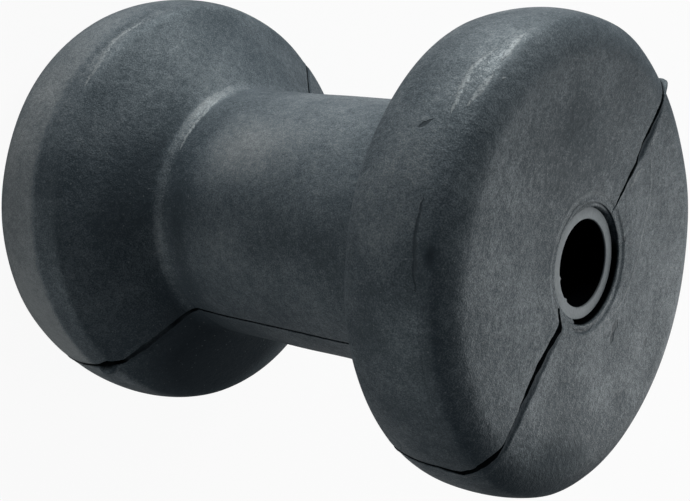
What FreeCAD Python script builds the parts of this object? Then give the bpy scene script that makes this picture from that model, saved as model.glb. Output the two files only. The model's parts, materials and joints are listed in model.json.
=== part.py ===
# Keel roller for a boat trailer: a rubber spool moulded round a straight tube that turns on a spindle.
# It stands on one end: +Z is the rolling axis and the origin is the middle of the lower end face.
# The mould opened along Y, so the parting plane is XZ and passes through the axis.
import FreeCAD, Part
import math
import os

os.makedirs("parts", exist_ok=True)

# Driving dimensions of the spool, in millimetres
roller_length = 152.0
flange_diameter = 116.0
core_diameter = 68.0
core_length = 63.4

# Radii of a flange's section, from the end face over the tread to the dished inner side
face_round = 12.0
outer_corner = 3.5
tread_round = 34.0
inner_corner = 3.2
dish_fillet = 7.0

# Where one radius hands over to the next, in degrees from the outward axis
face_round_end = 40.0
outer_corner_end = 72.0
tread_end = 108.5
dish_fillet_end = 110.0

# The mould halves did not quite close or line up, which left a land and a fin of flash between them
mould_gap = 3.0
mould_shift = 0.3
flash_width = 1.0
flash_height = 0.5
seam_groove_width = 0.8
seam_groove_depth = 0.6

# The tube in the middle, and the seats that its locating pins left in both end faces
liner_bore = 21.0
liner_wall = 2.85
liner_setback = 1.5
liner_chamfer = 0.3
pin_seat_width = 1.25
pin_seat_depth = 3.2
spot_face_width = 1.9
spot_face_depth = 0.3

# Worked out from the driving dimensions
half_length = roller_length / 2
half_core = core_length / 2
core_radius = core_diameter / 2
liner_bore_radius = liner_bore / 2
liner_radius = liner_bore_radius + liner_wall
pin_seat_radius = liner_radius + pin_seat_width
spot_face_radius = pin_seat_radius + spot_face_width

ORIGIN = FreeCAD.Vector(0, 0, 0)
ALONG = FreeCAD.Vector(0, 0, 1)
ACROSS = FreeCAD.Vector(0, 1, 0)
HALF_TURN = 180


def on_circle(centre, radius, degrees):
    """A point of the section: its distance from mid-length and its radius."""
    angle = math.radians(degrees)
    return (centre[0] + radius * math.cos(angle), centre[1] + radius * math.sin(angle))


def arc(centre, radius, start, end):
    """First, middle and last point of an arc of the section."""
    return [on_circle(centre, radius, a) for a in (start, (start + end) / 2, end)]


def flange_centres():
    """Centres of the section's arcs, placed so that the first one touches the end face."""
    tread = (0.0, flange_diameter / 2 - tread_round)
    outer = on_circle(tread, tread_round - outer_corner, outer_corner_end)
    face = on_circle(outer, outer_corner - face_round, face_round_end)
    inner = on_circle(tread, tread_round - inner_corner, tread_end)
    shift = half_length - face_round - face[0]
    return [(along + shift, radius) for along, radius in (face, outer, tread, inner)]


def fillet_centre():
    """Centre of the fillet at the foot of the dished side, which meets the core at a crease."""
    return on_circle((half_core, core_radius), dish_fillet, dish_fillet_end)


def dish_angle(inner, fillet):
    """Angle at which the straight dished side touches the inner corner and the fillet."""
    along = inner[0] - fillet[0]
    out = inner[1] - fillet[1]
    slope = math.atan2(out, along) + math.asin((inner_corner + dish_fillet) / math.hypot(along, out))
    return 90 + math.degrees(slope)


def flange_stretches():
    """The rounded stretches of one flange, from its end face to the core."""
    face, outer, tread, inner = flange_centres()
    fillet = fillet_centre()
    leave = dish_angle(inner, fillet)
    return [
        arc(face, face_round, 0, face_round_end),
        arc(outer, outer_corner, face_round_end, outer_corner_end),
        arc(tread, tread_round, outer_corner_end, tread_end),
        arc(inner, inner_corner, tread_end, leave),
        arc(fillet, -dish_fillet, leave, dish_fillet_end),
    ]


def in_space(point, side):
    """A point of the section in the XZ plane, on the upper (1) or the lower (-1) half."""
    return FreeCAD.Vector(point[1], 0, half_length + side * point[0])


def flange_edges(side):
    """Edges of one flange's section: end face, rounded rim, dished side and the fillet at the core."""
    stretches = [[in_space(p, side) for p in stretch] for stretch in flange_stretches()]
    edges = [Part.Arc(*stretch).toShape() for stretch in stretches]
    edges.append(Part.makeLine(in_space((half_length, 0), side), stretches[0][0]))
    edges.append(Part.makeLine(stretches[-2][-1], stretches[-1][0]))
    return edges


def spool_section():
    """The spool's section on the +X side as a flat face."""
    core = [in_space((half_core, core_radius), side) for side in (1, -1)]
    ends = [in_space((half_length, 0), side) for side in (1, -1)]
    edges = flange_edges(1) + flange_edges(-1)
    edges += [Part.makeLine(*core), Part.makeLine(*ends)]
    return Part.Face(Part.Wire(Part.__sortEdges__(edges)))


def both_sides(shape):
    """A shape on the +X or +Y side together with its copy turned half round the axis."""
    other = shape.copy()
    other.rotate(ORIGIN, ALONG, HALF_TURN)
    return [shape, other]


def plate(face, width):
    """A face of the XZ plane thickened to both sides of the parting plane."""
    solid = face.extrude(ACROSS * width)
    solid.translate(ACROSS * (-width / 2))
    return solid


def mould_halves(section):
    """The two half spools, each off the parting plane by half the gap and along it by half the shift."""
    half = section.revolve(ORIGIN, ALONG, HALF_TURN)
    half.translate(FreeCAD.Vector(-mould_shift / 2, mould_gap / 2, 0))
    return both_sides(half)


def flash_fin(section):
    """The thin fin that follows the outline round the tread, the dished sides and the core."""
    grown = section.makeOffset2D(flash_height)
    corner = FreeCAD.Vector(0, -flash_width / 2, 0)
    reach = flange_diameter / 2 + flash_height
    between_faces = Part.makeBox(reach, flash_width, roller_length, corner)
    return plate(grown, flash_width).common(between_faces)


def disc(radius, depth, side):
    """A round cut into the upper (1) or lower (-1) end face."""
    height = roller_length - depth if side > 0 else 0
    return Part.makeCylinder(radius, depth, FreeCAD.Vector(0, 0, height))


def seam_groove(side):
    """The crack along the parting line across one end face, out to where the face rounds off."""
    flat_radius = flange_centres()[0][1]
    height = roller_length - seam_groove_depth if side > 0 else 0
    corner = FreeCAD.Vector(-flat_radius, -seam_groove_width / 2, height)
    return Part.makeBox(2 * flat_radius, seam_groove_width, seam_groove_depth, corner)


def roller_body():
    """The one-piece rubber moulding."""
    section = spool_section()
    halves = mould_halves(section)
    land = both_sides(plate(section, mould_gap))
    solid = halves[0].fuse([halves[1]] + land + both_sides(flash_fin(section)))
    cuts = [Part.makeCylinder(liner_radius, roller_length)]
    for side in (1, -1):
        cuts.append(disc(pin_seat_radius, pin_seat_depth, side))
        cuts.append(disc(spot_face_radius, spot_face_depth, side))
        cuts.append(seam_groove(side))
    return solid.cut(cuts).removeSplitter()


def bore_liner():
    """The straight tube, a little shorter than the rubber, with its bore edges broken."""
    length = roller_length - 2 * liner_setback
    start = FreeCAD.Vector(0, 0, liner_setback)
    tube = Part.makeCylinder(liner_radius, length, start)
    tube = tube.cut(Part.makeCylinder(liner_bore_radius, length, start))
    edges = [
        edge
        for edge in tube.Edges
        if edge.Closed and abs(edge.Curve.Radius - liner_bore_radius) < 0.001
    ]
    return tube.makeChamfer(liner_chamfer, edges)


def write(shape, node):
    """One STEP file for one separate piece."""
    solid = shape.Solids[0]
    solid.exportStep(f"parts/{node}.step")


write(roller_body(), "roller_body")
write(bore_liner(), "bore_liner")
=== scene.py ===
import json
import math
from collections import namedtuple

import bpy
import numpy as np
from bpy.props import FloatProperty, FloatVectorProperty, IntProperty, PointerProperty
from mathutils import Euler, Matrix, Vector


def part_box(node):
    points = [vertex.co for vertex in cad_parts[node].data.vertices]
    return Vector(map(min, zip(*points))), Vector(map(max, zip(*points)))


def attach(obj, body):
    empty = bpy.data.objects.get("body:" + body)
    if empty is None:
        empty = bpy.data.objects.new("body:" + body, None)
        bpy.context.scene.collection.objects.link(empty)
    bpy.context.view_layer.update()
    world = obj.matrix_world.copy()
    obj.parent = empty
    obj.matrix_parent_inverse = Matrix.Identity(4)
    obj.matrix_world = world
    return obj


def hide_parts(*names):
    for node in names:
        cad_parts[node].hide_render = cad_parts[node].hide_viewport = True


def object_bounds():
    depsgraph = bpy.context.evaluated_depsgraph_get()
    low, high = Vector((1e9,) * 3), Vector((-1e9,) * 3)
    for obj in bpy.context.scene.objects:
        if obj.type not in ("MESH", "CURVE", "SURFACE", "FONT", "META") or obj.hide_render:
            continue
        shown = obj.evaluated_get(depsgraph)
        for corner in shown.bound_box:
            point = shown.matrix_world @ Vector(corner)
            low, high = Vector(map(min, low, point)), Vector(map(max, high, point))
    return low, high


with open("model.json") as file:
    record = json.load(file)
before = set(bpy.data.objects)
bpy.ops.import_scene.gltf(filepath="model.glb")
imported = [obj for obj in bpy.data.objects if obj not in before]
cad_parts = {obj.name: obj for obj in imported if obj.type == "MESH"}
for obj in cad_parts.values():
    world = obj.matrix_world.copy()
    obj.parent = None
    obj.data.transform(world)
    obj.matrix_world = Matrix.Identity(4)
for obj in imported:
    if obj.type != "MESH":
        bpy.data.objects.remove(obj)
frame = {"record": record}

bl_info = {
    "name": "Boat trailer roller",
    "version": (1, 0, 0),
    "blender": (4, 5, 0),
    "location": "View3D > Sidebar > Roller",
    "description": "Dresses the packed roller in worn moulded rubber and lights it for a studio view",
    "category": "Object",
}

# The whole object's box as it was packed, and a millimetre in its metres
CAD_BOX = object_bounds()
MM = 0.001

# The sides of the axis that the seams run on: the camera sees the one towards -X along the whole roller
FRONT = -1
BACK = 1

# Where one radius of a flange's section hands over to the next, in degrees from the axis
FACE_ROUND_END = 40
CORNER_END = 72
TREAD_END = 108.5

# How many points a small rounding is drawn with
ROUNDING_POINTS = 7


def in_mm(corner):
    """A corner of a node's box in millimetres."""
    return Vector(corner) / MM


def bore_radius():
    """Radius of the spindle bore in millimetres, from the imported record."""
    mounts = frame["record"]["mounts"]
    return next(m["dims"]["r_mm"] for m in mounts if m["name"] == "spindle_bore")


BODY_LOW, BODY_HIGH = (in_mm(corner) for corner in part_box("roller_body"))
LINER_LOW, LINER_HIGH = (in_mm(corner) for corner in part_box("bore_liner"))
LENGTH = BODY_HIGH.z - BODY_LOW.z
LINER_RADIUS = (LINER_HIGH.x - LINER_LOW.x) / 2


class SpoolSizes(bpy.types.PropertyGroup):
    """Sizes of the rubber spool, in millimetres and degrees."""

    flange_radius: FloatProperty(name="Flange radius", description="Largest flange radius", default=58.0)
    core_radius: FloatProperty(name="Core radius", description="Radius of the middle", default=34.0)
    core_length: FloatProperty(name="Core length", description="Length of the middle", default=63.4)
    collar_round: FloatProperty(name="Collar fillet", description="Fillet from dish to core", default=7.0)
    collar_tilt: FloatProperty(name="Collar tilt", description="Slope of its end in degrees", default=20.0)
    face_round: FloatProperty(name="Face rounding", description="Radius from face to rim", default=12.0)
    outer_corner: FloatProperty(name="Outer corner", description="Tighter radius at the rim", default=3.5)
    tread_round: FloatProperty(name="Tread crown", description="Radius of the crowned tread", default=34.0)
    inner_corner: FloatProperty(name="Inner corner", description="Radius where the dish starts", default=3.2)
    mould_gap: FloatProperty(name="Mould gap", description="Width of the land between", default=3.0)
    mould_shift: FloatProperty(name="Mould shift", description="Step between the halves", default=0.3)
    pin_seat: FloatProperty(name="Pin seat", description="Width of the deep groove", default=1.25)
    pin_depth: FloatProperty(name="Pin seat depth", description="Depth of that groove", default=3.2)
    spot_width: FloatProperty(name="Spot face width", description="Width of the shallow ring", default=1.9)
    spot_depth: FloatProperty(name="Spot face depth", description="Depth of the shallow ring", default=0.3)
    wave: FloatProperty(name="Waviness", description="Height of the slow unevenness", default=0.1)


class MeshCounts(bpy.types.PropertyGroup):
    """How finely the meshes are divided."""

    rows: IntProperty(name="Rows", description="Rings of points along the spool's section", default=296)
    half_columns: IntProperty(name="Columns", description="Points round each half", default=130)
    liner_columns: IntProperty(name="Tube columns", description="Points round the tube", default=288)


class FinishColours(bpy.types.PropertyGroup):
    """Colours of the finishes."""

    rubber: FloatVectorProperty(
        name="Rubber", description="Bloomed rubber", subtype="COLOR", default=(0.084, 0.102, 0.115)
    )
    # The dark end of the rubber's tone: bare rubber and random mottle, and also the painted shade of the
    # darker patches
    rubber_dark_and_shade: FloatVectorProperty(
        name="Bare rubber", description="Bloom rubbed off", subtype="COLOR", default=(0.021, 0.031, 0.04)
    )
    # Also painted light: the palest patches and bands, the highlight streaks and the polished shoulders are
    # mixed towards it
    dust_and_painted_light: FloatVectorProperty(
        name="Dust", description="Pale dust and scuffs", subtype="COLOR", default=(0.24, 0.26, 0.265)
    )
    # Also painted shade: the darkest patches are mixed to it, as well as torn flash and dents
    shade: FloatVectorProperty(
        name="Shaded", description="Torn flash and dents", subtype="COLOR", default=(0.012, 0.018, 0.025)
    )
    # Painted shade: the black that the cracks' depths and the open groove round the tube are painted with
    crack_shade: FloatVectorProperty(
        name="Open crack", description="Depth of the seam", subtype="COLOR", default=(0.002, 0.003, 0.004)
    )
    liner: FloatVectorProperty(
        name="Tube", description="Sawn end of the tube", subtype="COLOR", default=(0.22, 0.244, 0.256)
    )
    # Painted shade: the black the bore is painted with below its rim
    bore: FloatVectorProperty(
        name="Bore", description="Inside of the tube", subtype="COLOR", default=(0.003, 0.004, 0.006)
    )
    floor: FloatVectorProperty(
        name="Floor", description="Pale floor", subtype="COLOR", default=(0.5, 0.5, 0.5)
    )


class StageSettings(bpy.types.PropertyGroup):
    """Where the camera stands and how it is set."""

    camera_place: FloatVectorProperty(
        name="Camera place",
        description="Where the camera stands",
        subtype="TRANSLATION",
        default=(-0.13898, 0.22778, 0.29965),
    )
    lens: FloatProperty(name="Lens", description="Focal length for a sensor 36 mm wide", default=67.108)
    shift_x: FloatProperty(name="Shift across", description="Share of the sensor's width", default=-0.0797)
    shift_y: FloatProperty(name="Shift up", description="Share of the sensor's width", default=0.0283)


Stretch = namedtuple("Stretch", "name density points")
SeamPoint = namedtuple("SeamPoint", "share centre half_width depth strip ledge fin", defaults=[0.0] * 3)
Tear = namedtuple("Tear", "amount length")
Spot = namedtuple("Spot", "stretch share angle length width amount")
Band = namedtuple("Band", "stretch first last fade angle width amount")
Mark = namedtuple("Mark", "start end width strength")
Trail = namedtuple("Trail", "across width strength points")
Lamp = namedtuple("Lamp", "name azimuth elevation distance width height power")


def wrapped(turn):
    """A turn in degrees, brought between -180 and 180."""
    return (turn + 180) % 360 - 180


def on_circle(centre, radius, degrees):
    """A point of the section: distance from mid-length and radius."""
    angle = math.radians(degrees)
    return (centre[0] + radius * math.cos(angle), centre[1] + radius * math.sin(angle))


def arc_points(centre, radius, start, end):
    """Points of an arc of the section, at most about two degrees apart."""
    count = max(4, int(abs(end - start) / 2) + 1)
    return [on_circle(centre, radius, a) for a in np.linspace(start, end, count)]


def rounded(corners):
    """A polyline through corners of (along, out, rounding), with each rounding as an arc."""
    path = []
    for i, (along, out, radius) in enumerate(corners):
        corner = Vector((along, out))
        if radius == 0:
            path.append(tuple(corner))
            continue
        before = (Vector(corners[i - 1][:2]) - corner).normalized()
        after = (Vector(corners[i + 1][:2]) - corner).normalized()
        half = before.angle(after) / 2
        centre = corner + (before + after).normalized() * radius / math.sin(half)
        first = corner + before * radius / math.tan(half) - centre
        last = corner + after * radius / math.tan(half) - centre
        start = math.degrees(math.atan2(first.y, first.x))
        turn = math.degrees(math.atan2(first.x * last.y - first.y * last.x, first.dot(last)))
        path += [on_circle(centre, radius, start + turn * t) for t in np.linspace(0, 1, ROUNDING_POINTS)]
    return path


def upper_stretches(sizes):
    """The section of the upper half, from the tube's groove to mid-length, as named stretches."""
    end = LENGTH / 2
    seat = LINER_RADIUS + sizes.pin_seat
    spot = seat + sizes.spot_width
    tread = (0.0, sizes.flange_radius - sizes.tread_round)
    outer = on_circle(tread, sizes.tread_round - sizes.outer_corner, CORNER_END)
    face = on_circle(outer, sizes.outer_corner - sizes.face_round, FACE_ROUND_END)
    inner = on_circle(tread, sizes.tread_round - sizes.inner_corner, TREAD_END)
    move = end - sizes.face_round - face[0]
    face, outer, tread, inner = [(c[0] + move, c[1]) for c in (face, outer, tread, inner)]
    half_core = sizes.core_length / 2
    crest = (half_core, sizes.core_radius)
    crest_angle = 90 + sizes.collar_tilt
    fillet = on_circle(crest, sizes.collar_round, crest_angle)
    along, out = inner[0] - fillet[0], inner[1] - fillet[1]
    spread = (sizes.inner_corner + sizes.collar_round) / math.hypot(along, out)
    leave = 90 + math.degrees(math.atan2(out, along) + math.asin(spread))
    dish_top = on_circle(inner, sizes.inner_corner, leave)
    dish_foot = on_circle(fillet, -sizes.collar_round, leave)
    floor = end - sizes.pin_depth
    ring = end - sizes.spot_depth
    seat_corners = [
        (floor, LINER_RADIUS, 0),
        (floor, seat, 0.3),
        (ring, seat, 0.35),
        (ring, spot, 0.2),
        (end, spot + 0.25, 0.35),
        (end, spot + 1, 0),
    ]
    before = on_circle(fillet, -sizes.collar_round, crest_angle + 4)
    crease = [before, crest, (half_core - 0.5, sizes.core_radius)]
    return [
        Stretch("seat", 2.2, rounded(seat_corners)),
        Stretch("face", 1.15, [(end, spot + 1.2), (end, face[1] - 0.2)]),
        Stretch("rounding", 1.3, arc_points(face, sizes.face_round, 0, FACE_ROUND_END)),
        Stretch("corner", 1.5, arc_points(outer, sizes.outer_corner, FACE_ROUND_END + 1, CORNER_END - 1)),
        Stretch("tread", 1.05, arc_points(tread, sizes.tread_round, CORNER_END, TREAD_END)),
        Stretch("inner", 1.5, arc_points(inner, sizes.inner_corner, TREAD_END + 2, leave)),
        Stretch("dish", 0.8, [dish_top, dish_foot]),
        Stretch("collar", 1.6, arc_points(fillet, -sizes.collar_round, leave - 2, crest_angle + 5)),
        Stretch("step", 4.0, crease),
        Stretch("core", 0.8, [(half_core - 0.7, sizes.core_radius), (0.4, sizes.core_radius)]),
    ]


class Section:
    """The spool's closed section: places, normals and names of every row."""

    def __init__(self, sizes, row_count):
        upper = upper_stretches(sizes)
        points, names, densities = [], [], []
        for half, stretches in (("upper", upper), ("lower", upper[::-1])):
            side = 1 if half == "upper" else -1
            for stretch in stretches:
                for along, out in stretch.points[::side]:
                    if points and math.dist(points[-1], (side * along, out)) < 0.001:
                        continue
                    points.append((side * along, out))
                    names.append(half + "_" + stretch.name)
                    densities.append(stretch.density)
        points = np.array(points)
        steps = np.hypot(*np.diff(points, axis=0).T)
        run = np.concatenate([[0], np.cumsum(steps)])
        rate = np.interp((run[1:] + run[:-1]) / 2, run, densities)
        share = np.concatenate([[0], np.cumsum(rate * steps)])
        at = np.interp(np.linspace(0, share[-1], row_count), share, run)
        self.run = at
        self.along = np.interp(at, run, points[:, 0])
        self.out = np.interp(at, run, points[:, 1])
        tangent = np.gradient(points, run, axis=0)
        normal = np.column_stack([tangent[:, 1], -tangent[:, 0]])
        normal = np.column_stack([np.interp(at, run, normal[:, i]) for i in (0, 1)])
        self.normal = normal / np.linalg.norm(normal, axis=1)[:, None]
        names = np.array(names)
        self.spans = {name: (run[names == name][0], run[names == name][-1]) for name in names}

    def at(self, stretch, share):
        """Distance along the section of a share of a named stretch."""
        low, high = self.spans[stretch]
        return low + (high - low) * share


# The two seams, in millimetres at shares of the named stretches: centre and half width of the open crack
# and its depth, width of the strip of flash on its -Y side, how deep the strip lies and how proud it is.
# The last three are 0 where they aren't given
FRONT_SEAM = {
    "upper_seat": [
        (0.0, 0.0, 0.3, 0.0),
        (0.5, 3.4, 0.5, 0.6),
        (0.66, 2.5, 0.8, 1.8),
        (0.8, 0.3, 1.15, 2.4),
    ],
    "upper_face": [
        (0.01, -0.8, 1.1, 2.6, 0.1, 0.1),
        (0.13, -0.4, 1.0, 2.6, 0.5, 0.15),
        (0.2, -0.05, 1.0, 2.6, 0.8, 0.2),
        (0.31, 0.15, 1.0, 2.6, 0.9, 0.2),
        (0.45, 0.25, 0.95, 2.4, 1.3, 0.2),
        (0.54, 0.05, 0.85, 2.2, 1.7, 0.22),
        (0.63, -0.1, 0.65, 1.9, 1.5, 0.25),
        (0.72, -0.1, 0.35, 1.2, 1.9, 0.25),
        (0.8, -0.6, 0.2, 0.7, 1.7, 0.25),
    ],
    "upper_rounding": [
        (0.05, -0.8, 0.2, 0.6, 1.6, 0.25),
        (0.25, -1.2, 0.35, 1.4, 1.0, 0.2),
        (0.5, -1.1, 0.85, 2.4, 0.5, 0.15),
        (0.8, -0.95, 1.15, 2.6, 0.4, 0.1),
    ],
    "upper_corner": [
        (0.36, -1.0, 0.9, 2.4, 0.5, 0.1),
    ],
    "upper_tread": [
        (0.05, -2.3, 0.75, 2.2, 0.5, 0.1, 0.1),
        (0.19, -3.2, 0.95, 2.3, 0.5, 0.0, 0.3),
        (0.28, -2.3, 0.5, 1.8, 0.5, 0.0, 0.3),
        (0.42, -0.75, 0.4, 1.6, 0.5, 0.0, 0.3),
        (0.62, -0.3, 0.4, 1.6, 0.6, 0.0, 0.35),
        (1.0, 0.0, 0.45, 1.5, 0.5, 0.0, 0.2),
    ],
    "upper_dish": [
        (0.2, 0.0, 0.45, 1.2, 0.4, 0.0, 0.3),
    ],
    "upper_step": [
        (0.5, 0.2, 0.4, 0.9, 0.4, 0.0, 0.2),
    ],
    "upper_core": [
        (0.3, 0.6, 0.35, 0.55, 0.4, 0.0, 0.25),
    ],
    "lower_core": [
        (0.6, 0.3, 0.35, 0.55, 0.4, 0.0, 0.25),
    ],
    "lower_step": [
        (0.7, 0.4, 0.6, 0.6, 0.4, 0.0, 0.1),
    ],
    "lower_dish": [
        (0.28, -0.5, 0.95, 0.4, 0.8, 0.15),
        (0.65, -1.1, 1.0, 0.4, 0.9, 0.15),
        (0.93, -1.0, 0.7, 0.6, 0.6, 0.1),
    ],
    "lower_inner": [
        (0.35, 0.9, 0.8, 1.4, 1.4, 0.0, 0.6),
        (0.9, 1.2, 1.25, 2.4, 2.1, 0.0, 1.6),
    ],
    "lower_tread": [
        (0.06, 1.1, 1.2, 2.4, 2.4, 0.0, 2.4),
        (0.13, 0.6, 0.7, 2.0, 2.3, 0.0, 2.6),
        (0.19, 0.5, 0.5, 1.8, 1.6, 0.0, 0.9),
        (0.28, 0.5, 0.45, 1.5, 1.0, 0.0, 0.5),
        (0.4, 0.3, 0.4, 1.3, 0.7, 0.0, 0.4),
        (0.8, 0.1, 0.35, 1.1, 0.5, 0.0, 0.25),
    ],
    "lower_face": [
        (1.0, 0.3, 0.5, 1.4, 0.6, 0.2),
        (0.0, 0.0, 0.6, 1.7, 0.8, 0.2),
    ],
    "lower_seat": [
        (1.0, 0.0, 0.3, 0.0),
    ],
}
BACK_SEAM = {
    "upper_seat": [
        (0.0, 0.0, 0.3, 0.0),
        (0.95, 0.5, 0.3, 0.2),
    ],
    "upper_face": [
        (0.03, 0.6, 0.35, 1.4),
        (0.25, 0.5, 0.42, 1.6, 0.1, 0.0, 0.2),
        (0.42, 0.3, 0.45, 1.6, 0.3, 0.0, 0.3),
        (0.5, 0.9, 0.42, 0.7, 1.0, 0.3),
        (0.62, 1.6, 0.5, 0.6, 1.6, 0.35),
        (0.74, 1.4, 0.7, 2.2, 1.2, 0.35),
        (0.95, 1.6, 0.75, 2.2, 0.6, 0.2),
    ],
    "upper_rounding": [
        (0.4, 2.0, 0.6, 2.0, 0.4, 0.0, 0.2),
        (0.75, 2.3, 0.5, 1.7, 1.0, 0.0, 1.0),
    ],
    "upper_corner": [
        (0.5, 1.7, 0.5, 1.5, 1.3, 0.0, 1.5),
    ],
    "upper_tread": [
        (0.15, 1.0, 0.45, 1.4, 0.9, 0.0, 1.0),
        (0.3, 0.5, 0.4, 1.2, 0.5, 0.0, 0.3),
        (0.6, 0.0, 0.4, 1.2, 0.5, 0.0, 0.3),
    ],
    "upper_dish": [
        (0.5, 0.0, 0.4, 1.0, 0.5, 0.0, 0.3),
    ],
    "upper_core": [
        (0.3, 0.0, 0.35, 0.8, 0.4, 0.0, 0.3),
    ],
    "lower_core": [
        (0.6, 0.2, 0.35, 0.8, 0.4, 0.0, 0.3),
    ],
    "lower_dish": [
        (0.3, -0.3, 0.5, 1.3, 0.8, 0.2),
        (1.0, -0.3, 0.5, 1.4, 0.8, 0.2),
    ],
    "lower_tread": [
        (0.3, 0.2, 0.5, 1.4, 0.6, 0.0, 0.5),
        (0.9, -0.4, 0.45, 1.2, 0.5, 0.0, 0.3),
    ],
    "lower_face": [
        (0.9, -0.3, 0.55, 1.7, 0.8, 0.2),
        (0.1, 0.3, 0.5, 1.6, 0.8, 0.2),
    ],
    "lower_seat": [
        (1.0, 0.0, 0.3, 0.0),
    ],
}

# How far each value of a seam wanders from its points, and over what length in millimetres, in the order of
# their seeds
TEARS = {
    "centre": Tear(0.05, 3),
    "half_width": Tear(0.12, 2.5),
    "depth": Tear(0.12, 5),
    "fin": Tear(0.3, 3.5),
    "strip": Tear(0.08, 3),
}

# The least half width of a crack and width of a strip, and the height past which a fin tears no more
THINNEST = 0.15
HIGHEST_TEAR = 0.6

# Columns beside the open crack: places across it with the shares of its depth and of the painted shade that
# blackens it, places across the strip with the share of its height, the strip's outer wall with the shares
# of the height and of the sinking, and the way out to the zone's edge
CRACK_COLUMNS = (
    (-1.0, 0.0, 0.9),
    (-0.85, 1.0, 1.0),
    (-0.4, 1.0, 1.0),
    (0.4, 1.0, 1.0),
    (0.85, 1.0, 1.0),
    (1.0, 0.0, 0.6),
)
STRIP_COLUMNS = ((0.97, 0.75), (0.5, 1.0), (0.05, 0.85))
WALL_COLUMNS = ((0.5, 0.12, 0.05), (0.2, 0.5, 0.5))
LIP_COLUMNS = (0.12, 0.45)
FAR_SHARES = (0.1, 0.24, 0.41, 0.6, 0.8, 1.0)
SEAM_REACH = 9.0

# Depths in millimetres: where painted shade starts in a crack and over what it turns black, and at which the
# strip counts as sunk
DARK_FROM = 0.15
DARK_OVER = 0.5
SUNK_AT = 0.25

# How far outside the tube the mould's halves start to part, over what distance, and the least gap that
# their shift is shared out over
PARTED_FROM = 4.0
PARTED_OVER = 4.0
LEAST_GAP = 0.01

# The slow unevenness of the moulding: its wavelength, its seed, and where it starts off the axis
WAVE_LENGTH = 34
WAVE_SEED = 5
WAVE_FROM = 17
WAVE_OVER = 6

# The groove round the tube, in degrees: which way it is open, how far to each side and over what it closes
SEAT_OPEN_TOWARDS = -58.0
SEAT_OPEN_HALF = 92.0
SEAT_CLOSES_OVER = 6.0

# On one side it narrows to a share of its width, over the degrees before an angle
SEAT_NARROWEST = 0.08
SEAT_NARROWEST_AT = 80.0
SEAT_NARROWS_OVER = 65.0

# What is left of its depth where it is filled, and by what share less, round which angle
SEAT_FILLED = 0.32
SEAT_LEVEL = 0.7
SEAT_LEVEL_TOWARDS = 25.0
SEAT_LEVEL_SPREAD = 40.0

# How far below the end face painted shade starts in the open groove, and over what, in millimetres
SEAT_DARK_FROM = 0.45
SEAT_DARK_OVER = 0.3

# Over what distance the edge of that groove is drawn, and a distance too small to see, in millimetres
SEAT_EDGE = 0.3
NEARLY = 0.05

# The tube, in millimetres: the roundings of its outer and inner edge, where its plain wall is first drawn,
# how far down the bore's painted shade starts and how near to its wall, and the height of a burr and its
# reach
TUBE_OUTER_EDGE = 0.12
TUBE_BORE_EDGE = 0.3
TUBE_END = 20.0
INSIDE_FROM = 0.5
INSIDE_WITHIN = 0.2
BURR_HEIGHT = 0.45
BURR_REACH = 1.0

# Where small burrs stand on the edge of the bore and how wide they are, in degrees
BURRS = (146, -179)
BURR_SPREAD = 2.5


def ripple(points, wavelength, seed):
    """A smooth random height between about -1 and 1, from a sum of plane waves."""
    rng = np.random.default_rng(seed)
    count = 24
    directions = rng.normal(size=(count, 3))
    directions /= np.linalg.norm(directions, axis=1)[:, None]
    rates = 2 * np.pi / wavelength * rng.uniform(0.6, 1.6, count)
    phases = rng.uniform(0, 2 * np.pi, count)
    return np.sin(points @ (directions * rates[:, None]).T + phases).sum(axis=-1) / math.sqrt(count)


def torn(run, wavelength, seed):
    """Uneven wear along a line, as a smooth random value for each distance along it."""
    line = np.column_stack([run, np.zeros_like(run), np.zeros_like(run)])
    return ripple(line, wavelength, seed)


class Seam:
    """One seam line: the crack's path and the strip of flash beside it, on every row of the section."""

    def __init__(self, section, points, seed):
        placed = []
        for stretch, rows in points.items():
            placed += [(section.at(stretch, row[0]), SeamPoint(*row)) for row in rows]
        placed.sort()
        at = [place for place, point in placed]
        run = section.run
        values = {}
        for field in SeamPoint._fields[1:]:
            values[field] = np.interp(run, at, [getattr(point, field) for place, point in placed])
        tear = {name: t.amount * torn(run, t.length, seed + i) for i, (name, t) in enumerate(TEARS.items())}
        self.centre = values["centre"] + tear["centre"]
        self.half_width = np.maximum(values["half_width"] * (1 + tear["half_width"]), THINNEST)
        self.depth = values["depth"] * (1 + tear["depth"])
        self.strip = np.maximum(values["strip"] * (1 + tear["strip"]), THINNEST)
        self.ledge = values["ledge"]
        self.fin = values["fin"] + np.minimum(values["fin"], HIGHEST_TEAR) * tear["fin"]

    def columns(self):
        """Lateral place, height, mask of painted shade in the crack and strip mask of each column, from the
        -Y to the +Y side.
        """
        low = self.centre - self.half_width
        edge = low - self.strip
        high = self.centre + self.half_width
        lip = high + LIP_COLUMNS[-1]
        none = np.zeros_like(low)
        sunk = np.clip(self.ledge / SUNK_AT, 0, 1)
        rows = [(edge - (SEAM_REACH + edge) * t, none, none, none) for t in FAR_SHARES[::-1]]
        for gap, rise, sink in WALL_COLUMNS:
            rows.append((edge - gap, self.fin * rise - self.ledge * sink, none, sunk * sink))
        for share, rise in STRIP_COLUMNS:
            rows.append((low - self.strip * share, self.fin * rise - self.ledge, none, sunk))
        # Painted shade: the deeper a crack, the blacker it is painted
        open_share = np.clip((self.depth - DARK_FROM) / DARK_OVER, 0, 1)
        for q, share, dark in CRACK_COLUMNS:
            foot = self.ledge * (q < 0) * (1 - share)
            lateral = self.centre + q * self.half_width
            rows.append((lateral, -self.depth * share - foot, open_share * dark, sunk * (q < 0)))
        rows += [(high + gap, none, none, none) for gap in LIP_COLUMNS]
        rows += [(lip + (SEAM_REACH - lip) * t, none, none, none) for t in FAR_SHARES]
        return [np.column_stack(part) for part in zip(*rows)]


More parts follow.
